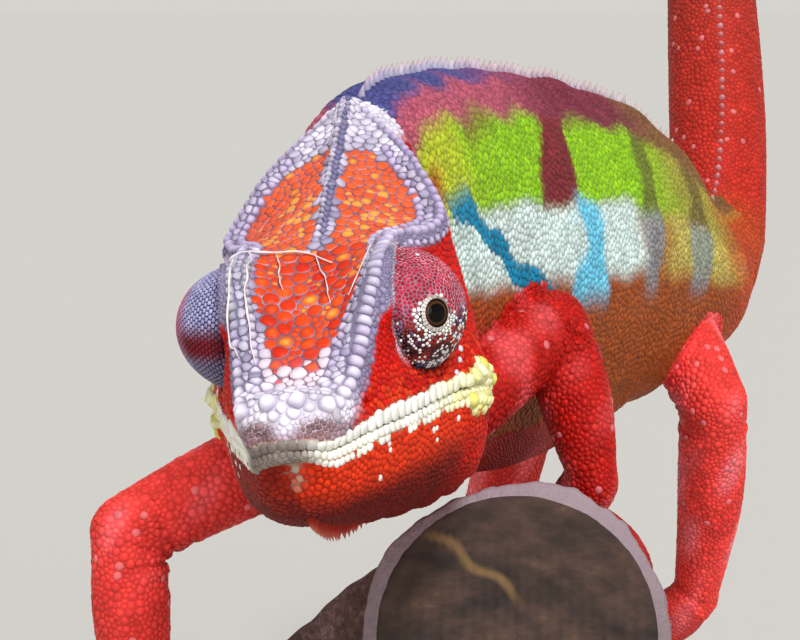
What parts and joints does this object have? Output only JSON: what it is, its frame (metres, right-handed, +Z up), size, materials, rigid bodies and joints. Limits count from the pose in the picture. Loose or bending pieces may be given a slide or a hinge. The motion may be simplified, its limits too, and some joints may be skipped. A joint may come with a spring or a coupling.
{
  "type": "panther chameleon on a cut branch, museum-like model on a display stand",
  "caption": "Life-size still model of a male panther chameleon that creeps down a sloping cut branch, tail raised, on a flat stand with rods.",
  "frame": {"origin": "centre of the stand board's underside, on the floor", "axes": "+Z up; -Y the way the animal looks; +X the animal's left; the raised tail is at +Y"},
  "size_m": [0.1375, 0.2954, 0.2378],
  "materials": {
    "skin": "dry scaly skin, satin",
    "eye": "wet, glossy",
    "perch_wood": "cut branch with bark, matte",
    "stand_board": "painted board, satin",
    "stand_rod": "satin"
  },
  "bodies": {
    "root": {"head": "skin", "lower_jaw": "skin", "eye_turret_left": "skin", "eye_turret_right": "skin", "neck": "skin", "trunk": "skin", "tail_root": "skin", "tail_middle": "skin", "tail_bend": "skin", "tail_curl_outer": "skin", "tail_curl_under": "skin", "tail_tip": "skin", "arm_right_upper": "skin", "arm_right_fore": "skin", "arm_right_foot": "skin", "arm_left_upper": "skin", "arm_left_fore": "skin", "arm_left_foot": "skin", "leg_left_thigh": "skin", "leg_left_shin": "skin", "leg_left_foot": "skin", "leg_right_thigh": "skin", "leg_right_shin": "skin", "leg_right_foot": "skin", "eye_left": "eye", "eye_right": "eye", "perch": "perch_wood", "stand_base": "stand_board", "stand_rod_front": "stand_rod", "stand_rod_rear": "stand_rod"}
  },
  "joints": []
}
